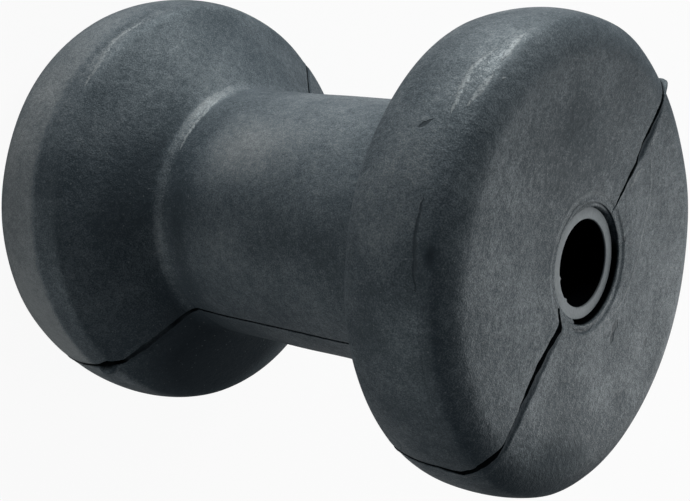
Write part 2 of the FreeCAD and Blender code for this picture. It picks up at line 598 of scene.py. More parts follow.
class Grid:
    """Places, normals and seam coordinates of the spool's points, as rows by columns."""

    def __init__(self, section, sizes, half_columns, seams):
        self.section = section
        out = section.out[:, None]
        parted = np.clip((section.out - LINER_RADIUS - PARTED_FROM) / PARTED_OVER, 0, 1)
        gap = (sizes.mould_gap / 2 * parted)[:, None]
        shift = (sizes.mould_shift / 2 * parted)[:, None]
        blocks = []
        for side, half in ((BACK, 1), (FRONT, -1)):
            across = [part[:, ::half] for part in seams[side].columns()]
            blocks.append(self.seam_block(across, side, out, gap, shift))
            start = np.arcsin(np.clip((SEAM_REACH - gap) / out, -1, 1))
            share = np.arange(1, half_columns) / half_columns
            angle = start + (math.pi - 2 * start) * share
            blocks.append(self.arc_block(angle, half, out, gap, shift))
        x, y, nx, ny, height, crack_shade, strip = (np.hstack(part) for part in zip(*blocks))
        normal = section.normal
        z = np.broadcast_to(section.along[:, None] + LENGTH / 2, x.shape)
        nz = np.broadcast_to(normal[:, :1], x.shape)
        self.place = np.stack([x, y, z], axis=-1)
        self.normal = np.stack([nx * normal[:, 1:], ny * normal[:, 1:], nz], axis=-1)
        self.seam_height = height
        self.crack_shade = crack_shade
        self.strip = strip
        self.angle = np.degrees(np.arctan2(y, x))

    @staticmethod
    def seam_block(across, side, out, gap, shift):
        """Columns beside one seam: on the land between the halves or a little way up them."""
        lateral, height, crack_shade, strip = across
        beyond = np.maximum(np.abs(lateral) - gap, 0)
        reach = np.sqrt(np.maximum(out**2 - beyond**2, 0))
        lean = -shift * np.clip(lateral / np.maximum(gap, LEAST_GAP), -1, 1)
        up = np.sign(lateral) * beyond / out
        return side * reach + lean, lateral, side * reach / out, up, height, crack_shade, strip

    @staticmethod
    def arc_block(angle, half, out, gap, shift):
        """Columns round one half of the spool."""
        across = np.cos(angle) * half
        up = np.sin(angle) * half
        none = np.zeros(angle.shape)
        return out * across - shift * half, out * up + gap * half, across, up, none, none, none

    def bulge(self, spot):
        """A soft bump: 1 at a place of the surface, falling off along the section and round the axis."""
        along = (self.section.run - self.section.at(spot.stretch, spot.share))[:, None] / spot.length
        round_axis = np.radians(wrapped(self.angle - spot.angle)) * self.section.out[:, None] / spot.width
        return np.exp(-(along**2) - round_axis**2)

    def spread(self, spots):
        """The amounts of soft spots, added up over the grid."""
        return sum(spot.amount * self.bulge(spot) for spot in spots)

    def rings(self, bands):
        """The amounts of bands, added up over the grid."""
        total = np.zeros(self.angle.shape)
        for band in bands:
            first, last = (self.section.at(band.stretch, share) for share in (band.first, band.last))
            between = np.minimum(self.section.run - first, last - self.section.run)[:, None]
            inside = np.clip(between / band.fade + 0.5, 0, 1)
            total += band.amount * inside * np.exp(-((wrapped(self.angle - band.angle) / band.width) ** 2))
        return total


def new_object(name, data):
    """An object that holds its data, linked to the scene."""
    made = bpy.data.objects.new(name, data)
    bpy.context.scene.collection.objects.link(made)
    return made


def closed_grid(name, places):
    """A watertight mesh object from points in rows by columns, closed both ways."""
    rows, columns = places.shape[:2]
    index = np.arange(rows * columns).reshape(rows, columns)
    down = np.roll(index, -1, axis=0)
    corner = np.roll(down, -1, axis=1)
    along = np.roll(index, -1, axis=1)
    quads = np.stack([index, down, corner, along], axis=-1).reshape(-1, 4)
    mesh = bpy.data.meshes.new(name)
    mesh.from_pydata((places.reshape(-1, 3) * MM).tolist(), [], quads.tolist())
    mesh.polygons.foreach_set("use_smooth", np.ones(len(quads), bool))
    mesh.update()
    return new_object(name, mesh)


def add_mask(piece, name, values):
    """A named value for each point of a piece, which its material can read."""
    layer = piece.data.attributes.new(name, "FLOAT", "POINT")
    layer.data.foreach_set("value", np.ascontiguousarray(values, dtype=np.float32).ravel())


# Soft unevenness that shows in the outline and the highlights
BUMPS = [
    Spot("upper_tread", 0.75, -173, 7, 11, 0.5),
    Spot("upper_inner", 0.5, -176, 4, 9, 0.25),
    Spot("lower_inner", 0.6, -165, 5, 22, 0.25),
    Spot("lower_inner", 0.6, 40, 5, 28, 0.1),
    Spot("upper_corner", 0.3, -10, 6, 20, -0.3),
    Spot("upper_rounding", 0.8, 160, 8, 26, -0.25),
    Spot("upper_face", 0.35, 8, 8, 12, -0.15),
    Spot("upper_face", 0.25, -60, 9, 12, 0.12),
    Spot("upper_core", 0.8, 112, 9, 14, 0.12),
    Spot("upper_core", 0.75, 128, 7, 6, -0.12),
    Spot("lower_core", 0.5, 92, 9, 8, -0.12),
]

# Radius of the rim where the short marks stand on it, in millimetres
RIM_RADIUS = 59.3


def on_face(start, end, width, strength):
    """A short mark on the upper end face."""
    return Mark(start + (LENGTH,), end + (LENGTH,), width, strength)


def on_rim(start, end, width, strength, out=RIM_RADIUS):
    """A short mark at a radius of the rim, from angles round the axis and heights."""
    ends = [(out * math.cos(math.radians(a)), out * math.sin(math.radians(a)), z) for a, z in (start, end)]
    return Mark(ends[0], ends[1], width, strength)


# Short marks: where they start and end and how wide they are, in millimetres, then their strength, above 0
# for a pale scratch and below 0 for a dark dent or cut
MARKS = [
    on_face((24.7, -1.9), (31.8, -2.9), 0.8, 0.7),
    on_face((38.0, -1.9), (42.5, -1.5), 0.7, 0.6),
    on_face((-1.4, -22.3), (-4.8, -22.8), 1.5, -1.0),
    on_face((-4.2, -22.7), (-6.8, -24.4), 1.0, -0.8),
    on_face((3.0, -39.0), (4.2, -40.4), 1.5, -0.7),
    on_face((13.6, -9.1), (14.8, -9.7), 0.9, -1.0),
    on_rim((99.3, 138.1), (97.9, 139.6), 0.8, -1.0),
    on_rim((98.4, 139.1), (96.9, 140.9), 0.45, -0.9),
    on_rim((82.9, 148.9), (81.7, 150.2), 0.35, 0.9, 56.2),
]

# Long ones: their width and strength, then radii or heights at angles round the axis. The pale ones at
# heights, round the upper flange's shoulder, on the lower flange's tread and along the lower collar's
# crease, are painted highlight streaks with a little relief
TRAILS = [
    Trail("radius", 1.2, 0.4, [
        (-102, 19.1), (-80, 20.7), (-61, 22.5), (-43, 25), (-33, 27.6), (-23, 31.3), (-8, 35.9), (0, 38),
    ]),
    Trail("height", 1.8, 1.0, [(67.5, 146.5), (71.4, 146.6), (76, 147.2), (78.5, 147.3)]),
    Trail("height", 1.1, -0.8, [
        (113, 144.5), (117, 144.3), (120.6, 144.2), (124.1, 144.6), (128, 144.8), (132.5, 145.8),
    ]),
    Trail("height", 1.6, 0.8, [(83, 147.5), (86.5, 147.3), (89.5, 146.9), (93, 146.0)]),
    Trail("height", 1.5, 0.8, [
        (75, 144.6), (78, 143.6), (81, 143.0), (84, 142.6), (87, 143.1), (90, 143.3), (95, 144.1),
    ]),
    Trail("height", 1.5, 0.75, [
        (69, 24.2), (74.3, 23.7), (77.6, 23.4), (82.7, 24.1), (90.4, 25.1), (96, 25.0),
    ]),
    Trail("height", 1.0, 0.9, [(62, 43.1), (70, 43.4), (80, 43.7), (92, 43.9), (100, 43.8)]),
    Trail("radius", 0.9, -1.0, [(112, 13.8), (143, 13.9), (172, 13.8)]),
    Trail("radius", 0.7, -0.8, [(62, 15.3), (90, 15.6), (118, 15.3)]),
    Trail("radius", 1.0, -0.9, [(-160, 15.5), (-140, 16.1), (-120, 15.4)]),
    Trail("radius", 0.4, 0.9, [(-158, 14.9), (-137, 15.1), (-116, 14.9)]),
]

# Where the rubber is paler (above 0) or darker (below 0): thicker bloom and bare rubber in places, and much
# painted light and painted shade that follow how the lamps fall, such as painted light along the core's top
# and painted shade on the side away from the lamps
PATCHES = [
    Spot("upper_core", 0.8, 84, 22, 12, 1.2),
    # Painted shade on the outer edge of the upper end face
    Spot("upper_face", 0.95, -148, 8, 26, -0.9),
    Spot("upper_tread", 0.0, 124.7, 1.1, 2.0, -1.3),
    Spot("lower_core", 0.35, 95, 12, 9, 3.3),
    Spot("lower_core", 0.3, 140, 8, 5, 0.7),
    Spot("lower_core", 0.86, 135, 4, 20, -0.8),
    Spot("lower_core", 0.8, 82, 3, 7, -0.7),
    Spot("lower_core", 0.1, 118, 9, 7, -0.25),
    Spot("upper_face", 0.3, -50, 14, 24, 0.7),
    Spot("upper_face", 0.3, 150, 14, 24, 0.5),
    Spot("upper_face", 0.9, -80, 6, 40, 0.4),
    # Painted shade along the upper flange's shoulder
    Spot("upper_tread", 0.0, 140, 5, 45, -0.4),
    Spot("upper_corner", 0.5, 120, 5, 30, -0.3),
    Spot("upper_tread", 0.3, 84, 7, 22, 0.6),
    Spot("upper_tread", 0.45, 113, 9, 15, 1.4),
    Spot("upper_tread", 0.55, 142, 9, 15, -0.7),
    Spot("lower_tread", 0.55, 88, 10, 26, 1.9),
    Spot("lower_dish", 0.5, 88, 14, 20, 0.5),
    Spot("lower_tread", 0.1, -169, 3, 7, 1.6),
    # Painted shade under the lower flange's dish and on the core beside it, on the side away from the lamps
    Spot("lower_dish", 0.5, -142, 18, 34, -2.4),
    Spot("lower_core", 0.5, -152, 30, 22, -1.2),
    Spot("lower_dish", 0.5, 130, 12, 14, -0.6),
    Spot("upper_corner", 0.5, -165, 12, 30, -0.9),
    Spot("upper_face", 0.5, 52, 16, 22, -0.9),
    Spot("lower_dish", 0.5, 160, 14, 18, 0.4),
    Spot("lower_dish", 0.12, 99, 9, 12, -1.0),
    Spot("lower_dish", 0.35, 68, 10, 12, 0.6),
    Spot("lower_core", 0.05, 52, 12, 9, 1.2),
    Spot("lower_dish", 0.3, 125, 10, 18, -0.6),
]

# Rings of it, between two shares of a stretch and fading round the axis; the collar's and the lower tread's
# are painted light, the lower inner corner's is painted shade
BANDS = [
    # Painted highlight on the lower collar's fillet
    Band("lower_collar", 0.1, 0.85, 0.6, 78, 19, 2.4),
    Band("lower_collar", 0.1, 0.85, 0.6, 132, 38, 1.4),
    # Painted light on the outer part of the lower flange's tread
    Band("lower_tread", 0.3, 1.0, 2.2, 128, 35, 2.6),
    Band("lower_tread", 0.28, 1.0, 2.2, 166, 20, 4.6),
    Band("lower_tread", 0.14, 0.24, 1.0, 80, 14, -0.9),
    # Painted shade over the highlight of the lower flange's inner corner
    Band("lower_inner", 0.0, 1.0, 1.5, 160, 30, -0.7),
    Band("upper_seat", 0.95, 1.0, 0.8, 60, 80, -0.8),
]

# Where it is scuffed and shinier, with a painted highlight that makes it paler: the flanges' shoulders and
# the lower collar
POLISH_AND_HIGHLIGHTS = [
    Spot("upper_tread", 0.05, 76, 1.6, 12, 1.0),
    Spot("upper_tread", 0.2, 84, 1.6, 9, 0.6),
    Spot("lower_tread", 0.1, 76, 2.2, 24, 0.6),
    Spot("lower_collar", 0.2, 88, 1.5, 16, 0.6),
]


def shade(name, build):
    """A material with its Principled shader, filled by a build function."""
    material = bpy.data.materials.new(name)
    material.use_nodes = True
    tree = material.node_tree
    build(Wiring(tree), tree.nodes["Principled BSDF"])
    return material


# Cells to the metre of each finish's grain and of the clouds in it
RUBBER_GRAIN = {"Grain": 2700.0, "Cloud": 70.0}
TUBE_GRAIN = {"Grain": 1500.0, "Cloud": 160.0}

# Cells to the metre of the noise that tears the marks and how far it moves them, and of the one that breaks
# up the scuffs
TORN_SCALE = 500.0
TORN_REACH = 0.0012
BROKEN_SCALE = 1500.0

# The saw marks on the tube are much finer across them than along them
SAW_SCALE = (300.0, 2200.0, 300.0)

# How bright thin dust and the tube's darkest grain are beside their full colours
THIN_DUST = 0.75
DARK_TUBE = 0.7

# The tint of both finishes' reflections, and the height in metres that their relief stands for
SPECULAR_TINT = (0.84, 1.0, 1.04, 1.0)
RELIEF = 0.0001

# Marks that are given by a radius lie on the upper face: how far below it they fade out, from one depth to
# the other, in millimetres
FACE_MARKS_FADE = 7.0
FACE_MARKS_END = 12.0

# How white the floor shines where the camera sees it, and where something mirrors it
SEEN_GLOW = 0.94
MIRRORED_GLOW = 0.2


class Wiring:
    """Short calls to add and link nodes in a tree."""

    def __init__(self, tree):
        self.tree = tree

    def link_or_set(self, socket, value):
        """One socket, linked when the value is a socket."""
        if isinstance(value, bpy.types.NodeSocket):
            self.tree.links.new(value, socket)
        else:
            socket.default_value = value

    def set(self, node, key, value):
        """One input of a node, linked when the value is a socket."""
        self.link_or_set(node.inputs[key], value)

    def add(self, kind, inputs=None, **settings):
        """A node with its settings, and its inputs set to values or linked to sockets."""
        node = self.tree.nodes.new(kind)
        for key, value in settings.items():
            setattr(node, key, value)
        for key, value in (inputs or {}).items():
            self.set(node, key, value)
        return node

    def math(self, operation, a, b=0.0, c=0.0):
        """The result of a math node."""
        return self.add("ShaderNodeMath", {0: a, 1: b, 2: c}, operation=operation).outputs[0]

    def times(self, a, b):
        """One value times another."""
        return self.math("MULTIPLY", a, b)

    def line(self, value, slope, start):
        """A value times a slope, plus a start."""
        return self.math("MULTIPLY_ADD", value, slope, start)

    def most(self, a, b):
        """The larger of two values."""
        return self.math("MAXIMUM", a, b)

    def mix(self, share, a, b):
        """A colour between two others."""
        node = self.add("ShaderNodeMix", data_type="RGBA")
        for key, value in (("Factor", share), ("A", a), ("B", b)):
            self.link_or_set(next(s for s in node.inputs if s.name == key and s.enabled), value)
        return next(s for s in node.outputs if s.enabled)

    def ramp(self, value, low, high):
        """A value stretched so that low gives 0 and high gives 1, and clamped."""
        inputs = {"Value": value, "From Min": low, "From Max": high}
        return self.add("ShaderNodeMapRange", inputs, clamp=True).outputs["Result"]

    def noise(self, where, scale, detail=3.0, rough=0.55):
        """A noise value at a place."""
        inputs = {"Vector": where, "Scale": scale, "Detail": detail, "Roughness": rough}
        return self.add("ShaderNodeTexNoise", inputs).outputs["Fac"]

    def mask(self, name):
        """The named value that a piece carries on its points."""
        return self.add("ShaderNodeAttribute", attribute_name=name).outputs["Fac"]

    def vector(self, operation, a, b, result="Vector"):
        """The result of a vector math node."""
        return self.add("ShaderNodeVectorMath", {0: a, 1: b}, operation=operation).outputs[result]

    def dot(self, a, b):
        """The dot product of two vectors."""
        return self.vector("DOT_PRODUCT", a, b, "Value")

    def scaled(self, place, factor):
        """A vector times a value."""
        node = self.add("ShaderNodeVectorMath", {0: place, "Scale": factor}, operation="SCALE")
        return node.outputs["Vector"]

    def wobble(self, where, scale, reach):
        """A place moved about by a noise, so that straight marks look torn."""
        noise = self.add("ShaderNodeTexNoise", {"Vector": where, "Scale": scale}).outputs["Color"]
        moved = self.scaled(self.vector("SUBTRACT", noise, (0.5, 0.5, 0.5)), reach)
        return self.vector("ADD", where, moved)

    def stretched(self, where, scale):
        """A place with its axes scaled, for marks that are longer one way."""
        return self.add("ShaderNodeMapping", {"Vector": where, "Scale": scale}).outputs["Vector"]


def opaque(colour):
    """A colour with an alpha of 1."""
    return tuple(colour) + (1.0,)


def new_group(name, places, values, results):
    """An empty node group with vector inputs, float inputs with their defaults, and float outputs."""
    group = bpy.data.node_groups.new(name, "ShaderNodeTree")
    sockets = group.interface
    for key in places:
        sockets.new_socket(key, in_out="INPUT", socket_type="NodeSocketVector")
    for key, value in values.items():
        sockets.new_socket(key, in_out="INPUT", socket_type="NodeSocketFloat").default_value = value
    for key in results:
        sockets.new_socket(key, in_out="OUTPUT", socket_type="NodeSocketFloat")
    given = group.nodes.new("NodeGroupInput").outputs
    return group, Wiring(group), given, group.nodes.new("NodeGroupOutput")


def grain_group():
    """Mottling at three scales, pale specks and a height for the relief."""
    results = ("Height", "Mottle", "Speck")
    group, wire, given, result = new_group("Matt grain", ("Vector",), RUBBER_GRAIN, results)
    where, scale = given["Vector"], given["Grain"]
    fine = wire.ramp(wire.noise(where, scale, 2.0, 0.7), 0.3, 0.7)
    middle = wire.ramp(wire.noise(where, wire.times(scale, 0.22), 2.0, 0.6), 0.3, 0.7)
    broad = wire.ramp(wire.noise(where, given["Cloud"], 3.0, 0.6), 0.3, 0.7)
    mottle = wire.line(fine, 0.52, wire.times(middle, 0.2))
    cells = wire.add("ShaderNodeTexVoronoi", {"Vector": where, "Scale": wire.times(scale, 0.3)}).outputs
    dots = wire.ramp(cells["Distance"], 0.2, 0.08)
    number = wire.add("ShaderNodeSeparateColor", {"Color": cells["Color"]}).outputs["Red"]
    chosen = wire.ramp(number, 0.5, 1.0)
    wire.set(result, "Height", wire.line(fine, 0.5, middle))
    wire.set(result, "Mottle", wire.line(broad, 0.28, mottle))
    wire.set(result, "Speck", wire.times(dots, chosen))
    return group


def scratch_group():
    """A thin mark from one place to another: 1 along its middle, pointed at both ends."""
    places = ("Vector", "From", "To")
    group, wire, given, result = new_group("Scratch", places, {"Width": 0.0004}, ("Mask",))
    along = wire.vector("SUBTRACT", given["To"], given["From"])
    away = wire.vector("SUBTRACT", given["Vector"], given["From"])
    share = wire.ramp(wire.math("DIVIDE", wire.dot(away, along), wire.dot(along, along)), 0.0, 1.0)
    gap = wire.vector("DISTANCE", away, wire.scaled(along, share), "Value")
    from_middle = wire.math("ABSOLUTE", wire.line(share, 2.0, -1.0))
    taper = wire.line(wire.math("POWER", from_middle, 3.0), -0.7, 1.0)
    width = wire.times(given["Width"], taper)
    wire.set(result, "Mask", wire.ramp(wire.math("DIVIDE", gap, width), 1.0, 0.5))
    return group


def bend(wire, value, points):
    """A smooth curve through points, read at a value."""
    first, last = points[0][0], points[-1][0]
    low = min(level for at, level in points)
    high = max(level for at, level in points)
    node = wire.add("ShaderNodeFloatCurve", {"Value": wire.ramp(value, first, last)})
    shares = [((at - first) / (last - first), (level - low) / (high - low)) for at, level in points]
    knots = node.mapping.curves[0].points
    knots[0].location = shares[0]
    knots[1].location = shares[-1]
    for share in shares[1:-1]:
        knots.new(*share)
    node.mapping.update()
    return wire.line(node.outputs["Value"], (high - low) * MM, low * MM)


def trail_group():
    """A thin mark along a curve: 1 along its middle, pointed at both ends."""
    values = {"Across": 0.0, "Middle": 0.0, "Along": 0.0, "From": 0.0, "To": 1.0, "Width": 0.001}
    group, wire, given, result = new_group("Trail", (), values, ("Mask",))
    share = wire.ramp(given["Along"], given["From"], given["To"])
    from_middle = wire.math("ABSOLUTE", wire.line(share, 2.0, -1.0))
    taper = wire.line(wire.math("POWER", from_middle, 4.0), -0.5, 0.5)
    width = wire.line(given["Width"], taper, 0.00001)
    gap = wire.math("ABSOLUTE", wire.math("SUBTRACT", given["Across"], given["Middle"]))
    wire.set(result, "Mask", wire.ramp(wire.math("DIVIDE", gap, width), 1.0, 0.35))
    return group


def marks(wire, group, where, chosen):
    """The strongest of a list of short marks at each place."""
    total = 0.0
    for mark in chosen:
        inputs = {"Vector": where, "Width": mark.width * MM}
        inputs["From"] = [v * MM for v in mark.start]
        inputs["To"] = [v * MM for v in mark.end]
        found = wire.add("ShaderNodeGroup", inputs, node_tree=group).outputs["Mask"]
        total = wire.most(wire.times(found, abs(mark.strength)), total)
    return total


def trails(wire, group, where, chosen):
    """The strongest of a list of long marks at each place."""
    axes = wire.add("ShaderNodeSeparateXYZ", {"Vector": where}).outputs
    angle = wire.times(wire.math("ARCTAN2", axes["Y"], axes["X"]), math.degrees(1))
    radius = wire.math("SQRT", wire.line(axes["X"], axes["X"], wire.times(axes["Y"], axes["Y"])))
    across = {"height": axes["Z"], "radius": radius}
    near_face = wire.ramp(axes["Z"], (LENGTH - FACE_MARKS_END) * MM, (LENGTH - FACE_MARKS_FADE) * MM)
    total = 0.0
    for trail in chosen:
        inputs = {"Across": across[trail.across], "Middle": bend(wire, angle, trail.points), "Along": angle}
        inputs["From"] = trail.points[0][0]
        inputs["To"] = trail.points[-1][0]
        inputs["Width"] = trail.width * MM
        mask = wire.add("ShaderNodeGroup", inputs, node_tree=group).outputs["Mask"]
        found = wire.times(mask, abs(trail.strength))
        if trail.across == "radius":
            found = wire.times(found, near_face)
        total = wire.most(found, total)
    return total


def all_marks(wire, scratch, trail, where, sign):
    """The strongest of the pale (sign 1) or of the dark (sign -1) marks, short and long."""
    short = [mark for mark in MARKS if mark.strength * sign > 0]
    long = [mark for mark in TRAILS if mark.strength * sign > 0]
    return wire.most(marks(wire, scratch, where, short), trails(wire, trail, where, long))


def finish_surface(wire, shader, height, strength):
    """The fine relief and the cool reflections that both finishes have."""
    bump = wire.add("ShaderNodeBump", {"Height": height, "Distance": RELIEF, "Strength": strength})
    wire.set(shader, "Normal", bump.outputs["Normal"])
    shader.inputs["Specular Tint"].default_value = SPECULAR_TINT


def build_rubber(colours, grain, scratch, trail):
    """Moulded rubber with a grey bloom, pale dust, scuffs and dents, and painted light and shade: highlights
    on the shoulders and collar, light on the lower rim, shade on the side away from the lamps and black in
    the cracks.
    """

    def build(wire, shader):
        where = wire.add("ShaderNodeTexCoord").outputs["Object"]
        texture = wire.add("ShaderNodeGroup", {"Vector": where, **RUBBER_GRAIN}, node_tree=grain).outputs
        bloom_and_painted_light, crack_shade, strip, polish_and_painted_highlight = (wire.mask(name) for name in ("bloom_and_painted_light", "crack_shade", "strip", "polish_and_painted_highlight"))
        moved = wire.wobble(where, TORN_SCALE, TORN_REACH)
        scratches_and_painted_highlights = all_marks(wire, scratch, trail, moved, 1)
        dark = all_marks(wire, scratch, trail, moved, -1)
        broken = wire.ramp(wire.noise(where, BROKEN_SCALE, 3.0, 0.7), 0.36, 0.56)
        scuffs_and_painted_highlight = wire.times(polish_and_painted_highlight, broken)
        mottle = wire.line(texture["Mottle"], 2.5, -0.75)
        # The tone: random mottle plus the painted light and painted shade of the patches and bands
        tone_and_painted_light = wire.line(bloom_and_painted_light, 0.5, mottle)
        # Painted shade where the patches are darkest, with some bare rubber
        bare_and_painted_shade = wire.ramp(bloom_and_painted_light, -0.6, -2.0)
        dust_and_painted_light, shaded = opaque(colours.dust_and_painted_light), opaque(colours.shade)
        # Dust, and the painted light of the palest patches and bands
        powder_and_painted_light = wire.mix(wire.ramp(mottle, 0.0, 1.0), opaque(THIN_DUST * c for c in colours.dust_and_painted_light), dust_and_painted_light)
        # Layers over the dark rubber: its tone, with random mottle and the painted light and shade of the
        # patches and bands; painted shade where that is far below 0; dust and painted light where it is far
        # above; specks; scratches and painted highlight streaks; torn flash and dents; painted black in the
        # cracks
        coats = [
            (wire.ramp(tone_and_painted_light, 0.0, 1.0), opaque(colours.rubber)),
            (bare_and_painted_shade, shaded),
            (wire.ramp(wire.math("ADD", tone_and_painted_light, scuffs_and_painted_highlight), 0.9, 2.6), powder_and_painted_light),
            (wire.times(texture["Speck"], 0.5), dust_and_painted_light),
            (wire.times(scratches_and_painted_highlights, broken), dust_and_painted_light),
            (wire.most(wire.times(strip, 0.88), dark), shaded),
            (crack_shade, opaque(colours.crack_shade)),
        ]
        base = opaque(colours.rubber_dark_and_shade)
        for share, colour in coats:
            base = wire.mix(share, base, colour)
        wire.set(shader, "Base Color", base)
        # Metallic over a black base gives back no light: it deepens the painted shade in the cracks and the
        # darkest patches
        wire.set(shader, "Metallic", wire.most(crack_shade, wire.times(bare_and_painted_shade, 0.4)))
        rough = wire.line(mottle, -0.12, 0.68)
        rough = wire.line(wire.most(bare_and_painted_shade, strip), 0.3, rough)
        rough = wire.line(scuffs_and_painted_highlight, -0.2, rough)
        wire.set(shader, "Roughness", wire.most(rough, crack_shade))
        height = wire.line(dark, -2.5, texture["Height"])
        finish_surface(wire, shader, wire.math("ADD", height, scratches_and_painted_highlights), 0.8)

    return build


def build_liner(colours, grain):
    """The tube's matt plastic, with saw marks on its ends and painted shade, black and metallic, down its
    bore.
    """

    def build(wire, shader):
        where = wire.add("ShaderNodeTexCoord").outputs["Object"]
        texture = wire.add("ShaderNodeGroup", {"Vector": where, **TUBE_GRAIN}, node_tree=grain).outputs
        inside = wire.mask("inside")
        dark = opaque(DARK_TUBE * c for c in colours.liner)
        base = wire.mix(texture["Mottle"], dark, opaque(colours.liner))
        wire.set(shader, "Base Color", wire.mix(inside, base, opaque(colours.bore)))
        # Metallic over the black base gives back no light in the bore's painted shade
        wire.set(shader, "Metallic", inside)
        wire.set(shader, "Roughness", wire.line(inside, 0.4, 0.6))
        saw = wire.noise(wire.stretched(where, SAW_SCALE), 1.0, 2.0)
        finish_surface(wire, shader, wire.line(saw, 0.5, texture["Height"]), 0.6)

    return build


def build_floor(colours):
    """A pale floor: white where it is seen, with the roller's soft shadow left on it."""

    def build(wire, shader):
        shader.inputs["Base Color"].default_value = opaque(colours.floor)
        shader.inputs["Roughness"].default_value = 0.9
        path = wire.add("ShaderNodeLightPath").outputs
        mirrored = wire.most(path["Is Glossy Ray"], path["Is Transmission Ray"])
        share = wire.most(wire.times(path["Is Camera Ray"], SEEN_GLOW), wire.times(mirrored, MIRRORED_GLOW))
        glow = wire.add("ShaderNodeEmission", {"Color": (1.0, 1.0, 1.0, 1.0), "Strength": 1.0})
        mixed = wire.add("ShaderNodeMixShader", {0: share, 1: shader.outputs[0], 2: glow.outputs[0]})
        wire.set(wire.tree.nodes["Material Output"], "Surface", mixed.outputs[0])

    return build


def finishes():
    """The materials, made once and shared."""
    colours = bpy.context.scene.roller_colours
    if "Moulded rubber" not in bpy.data.materials:
        grain = grain_group()
        shade("Moulded rubber", build_rubber(colours, grain, scratch_group(), trail_group()))
        shade("Tube plastic", build_liner(colours, grain))
        shade("Pale floor", build_floor(colours))
    return bpy.data.materials


class ROLLER_OT_rubber_spool(bpy.types.Operator):
    """Build the moulded rubber spool with its seams, flash and wear"""

    bl_idname = "roller.rubber_spool"
    bl_label = "Rubber spool"

    def execute(self, context):
        sizes = context.scene.roller_spool
        counts = context.scene.roller_counts
        section = Section(sizes, counts.rows)
        seams = {BACK: Seam(section, BACK_SEAM, seed=11), FRONT: Seam(section, FRONT_SEAM, seed=41)}
        grid = Grid(section, sizes, counts.half_columns, seams)
        out = section.out[:, None]
        wave = sizes.wave * ripple(grid.place, WAVE_LENGTH, WAVE_SEED)
        wave *= np.clip((out - WAVE_FROM) / WAVE_OVER, 0, 1)
        height = grid.seam_height + wave + grid.spread(BUMPS)
        places = grid.place + grid.normal * height[..., None]
        places[..., 2] = fill_grooves(grid, sizes, places[..., 2])
        piece = closed_grid("rubber_spool", places)
        below_face = LENGTH / 2 - np.abs(section.along[:, None])
        deep = np.clip((below_face - SEAT_DARK_FROM) / SEAT_DARK_OVER, 0, 1)
        # Painted shade down the open groove round the tube, added to the crack's mask
        groove_shade = groove_opening(grid, sizes) * deep * (out < LINER_RADIUS + sizes.pin_seat + NEARLY)
        add_mask(piece, "crack_shade", np.maximum(grid.crack_shade, groove_shade))
        add_mask(piece, "strip", grid.strip)
        add_mask(piece, "bloom_and_painted_light", grid.spread(PATCHES) + grid.rings(BANDS))
        add_mask(piece, "polish_and_painted_highlight", grid.spread(POLISH_AND_HIGHLIGHTS))
        piece.data.materials.append(finishes()["Moulded rubber"])
        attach(piece, "root")
        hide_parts("roller_body")
        return {"FINISHED"}


def fill_grooves(grid, sizes, height):
    """The tube's grooves are open on one side only: on the other, rubber has crept up to the tube."""
    toward = (grid.angle - SEAT_LEVEL_TOWARDS) / SEAT_LEVEL_SPREAD
    share = SEAT_FILLED * (1 - SEAT_LEVEL * np.exp(-(toward**2)))
    share = share + (1 - share) * groove_opening(grid, sizes)
    side = np.where(height > LENGTH / 2, 1, -1)
    depth = LENGTH / 2 - side * (height - LENGTH / 2)
    below_ring = np.maximum(depth - sizes.spot_depth, 0)
    within = grid.section.out[:, None] < LINER_RADIUS + sizes.pin_seat + SEAT_EDGE
    height = height + side * np.where(within, below_ring * (1 - share), 0)
    return np.maximum(height, 0)


def groove_opening(grid, sizes):
    """1 where the groove round the tube is open, narrowing to nothing at one end."""
    turn = wrapped(grid.angle - SEAT_OPEN_TOWARDS)
    width = np.clip((SEAT_NARROWEST_AT - np.abs(turn)) / SEAT_NARROWS_OVER, SEAT_NARROWEST, 1)
    reach = LINER_RADIUS + sizes.pin_seat * np.where(turn > 0, width, 1)
    beside = np.clip((reach - grid.section.out[:, None]) / SEAT_EDGE + 1, 0, 1)
    return np.clip((SEAT_OPEN_HALF - np.abs(turn)) / SEAT_CLOSES_OVER, 0, 1) * beside


class ROLLER_OT_bore_tube(bpy.types.Operator):
    """Build the sawn tube in the middle, with burrs on its edge"""

    bl_idname = "roller.bore_tube"
    bl_label = "Bore tube"

    def execute(self, context):
        bore = bore_radius()
        low, high = LINER_LOW.z, LINER_HIGH.z
        corners = [
            (high - TUBE_END, LINER_RADIUS, 0),
            (high, LINER_RADIUS, TUBE_OUTER_EDGE),
            (high, bore, TUBE_BORE_EDGE),
            (high - INSIDE_FROM, bore, 0),
            (high - TUBE_END, bore, 0),
        ]
        top = rounded(corners)
        bottom = [(low + high - along, out) for along, out in top[::-1]]
        path = np.array(top + bottom)
        angle = np.linspace(0, 2 * np.pi, context.scene.roller_counts.liner_columns, endpoint=False)
        out = np.tile(path[:, 1:], len(angle))
        rim = np.abs(path[:, :1] - high) < 2 * TUBE_BORE_EDGE
        for burr in BURRS:
            apart = wrapped(np.degrees(angle) - burr)
            out -= BURR_HEIGHT * rim * (out < bore + BURR_REACH) * np.exp(-((apart / BURR_SPREAD) ** 2))
        along = np.broadcast_to(path[:, :1], out.shape)
        places = np.stack([out * np.cos(angle), out * np.sin(angle), along], axis=-1)
        piece = closed_grid("bore_tube", places)
        # Painted shade down the bore, below the rounding of its edge
        inner = (along < high - INSIDE_FROM + NEARLY) * (out < bore + INSIDE_WITHIN)
        add_mask(piece, "inside", inner)
        piece.data.materials.append(finishes()["Tube plastic"])
        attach(piece, "root")
        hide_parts("bore_liner")
        return {"FINISHED"}


